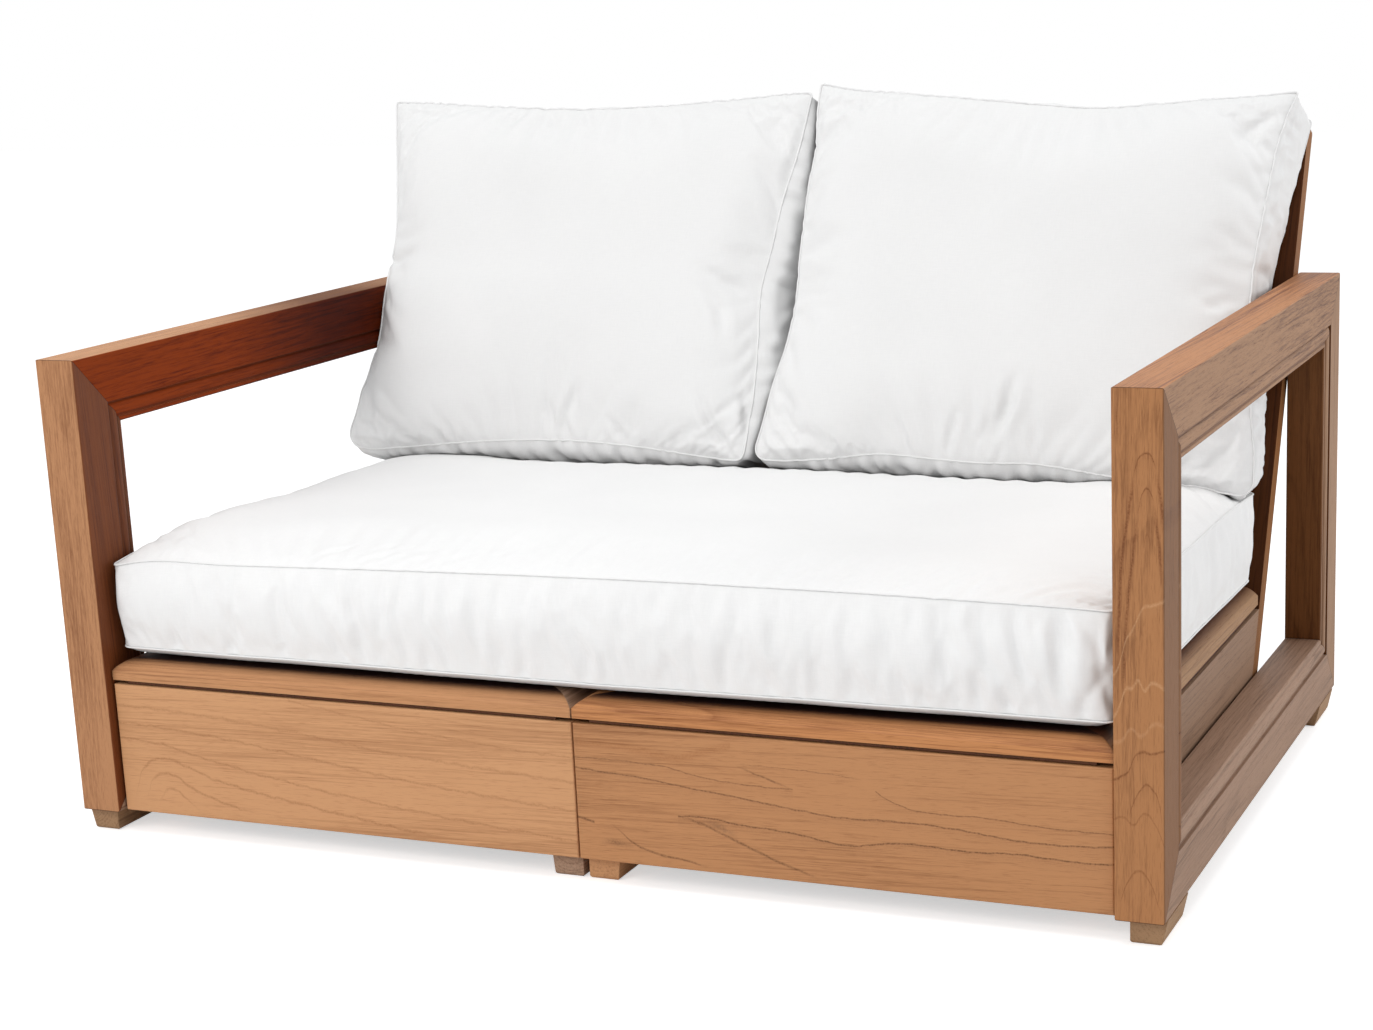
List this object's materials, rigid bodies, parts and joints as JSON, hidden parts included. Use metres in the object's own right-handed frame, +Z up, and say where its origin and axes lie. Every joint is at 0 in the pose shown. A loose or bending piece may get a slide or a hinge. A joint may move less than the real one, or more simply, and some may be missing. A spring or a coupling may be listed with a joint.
{
  "type": "patio loveseat",
  "caption": "Teak patio loveseat in two bolted modules, with mitred open arm frames, a leaning slatted back, a boxed base, a long seat cushion and back cushions.",
  "frame": {"origin": "middle of the loveseat on the ground, below the centre of its bounding box", "axes": "+X across the seat to the right as seen from the front, +Y from the front to the back, +Z up"},
  "size_m": [1.42, 1.0516, 0.8593],
  "materials": {
    "teak": "satin",
    "bolt_steel": "satin",
    "cushion_cover": "matte"
  },
  "bodies": {
    "frame": {"right_arm_front_post": "teak", "right_arm_rear_post": "teak", "right_arm_top_rail": "teak", "right_arm_bottom_rail": "teak", "right_arm_tenons": "teak", "right_front_board": "teak", "right_outer_side_board": "teak", "right_inner_side_board": "teak", "right_rear_board": "teak", "right_base_cleats": "teak", "right_corner_blocks": "teak", "right_deck_front_board": "teak", "right_deck_inner_board": "teak", "right_deck_outer_board": "teak", "right_deck_rear_board": "teak", "right_seat_slats": "teak", "right_slat_bearer": "teak", "right_back_inner_stile": "teak", "right_back_outer_stile": "teak", "right_back_bottom_rail": "teak", "right_back_top_rail": "teak", "right_back_slats": "teak", "right_outer_feet": "teak", "right_inner_feet": "teak", "left_arm_front_post": "teak", "left_arm_rear_post": "teak", "left_arm_top_rail": "teak", "left_arm_bottom_rail": "teak", "left_arm_tenons": "teak", "left_front_board": "teak", "left_outer_side_board": "teak", "left_inner_side_board": "teak", "left_rear_board": "teak", "left_base_cleats": "teak", "left_corner_blocks": "teak", "left_deck_front_board": "teak", "left_deck_inner_board": "teak", "left_deck_outer_board": "teak", "left_deck_rear_board": "teak", "left_seat_slats": "teak", "left_slat_bearer": "teak", "left_back_inner_stile": "teak", "left_back_outer_stile": "teak", "left_back_bottom_rail": "teak", "left_back_top_rail": "teak", "left_back_slats": "teak", "left_outer_feet": "teak", "left_inner_feet": "teak", "right_arm_bolts": "bolt_steel", "right_back_bolts": "bolt_steel", "left_arm_bolts": "bolt_steel", "left_back_bolts": "bolt_steel", "joining_bolts": "bolt_steel", "joining_nuts": "bolt_steel"},
    "seat_cushion": {"seat_cushion": "cushion_cover"},
    "left_back_cushion": {"left_back_cushion": "cushion_cover"},
    "right_back_cushion": {"right_back_cushion": "cushion_cover"}
  },
  "joints": [
    {"name": "seat_cushion_lift", "type": "slide", "parent": "frame", "child": "seat_cushion", "axis": [0, 0, 1], "range_m": [0, 0.25]},
    {"name": "left_back_cushion_lift", "type": "slide", "parent": "seat_cushion", "child": "left_back_cushion", "axis": [0, 0, 1], "range_m": [0, 0.3]},
    {"name": "right_back_cushion_lift", "type": "slide", "parent": "seat_cushion", "child": "right_back_cushion", "axis": [0, 0, 1], "range_m": [0, 0.3]}
  ]
}
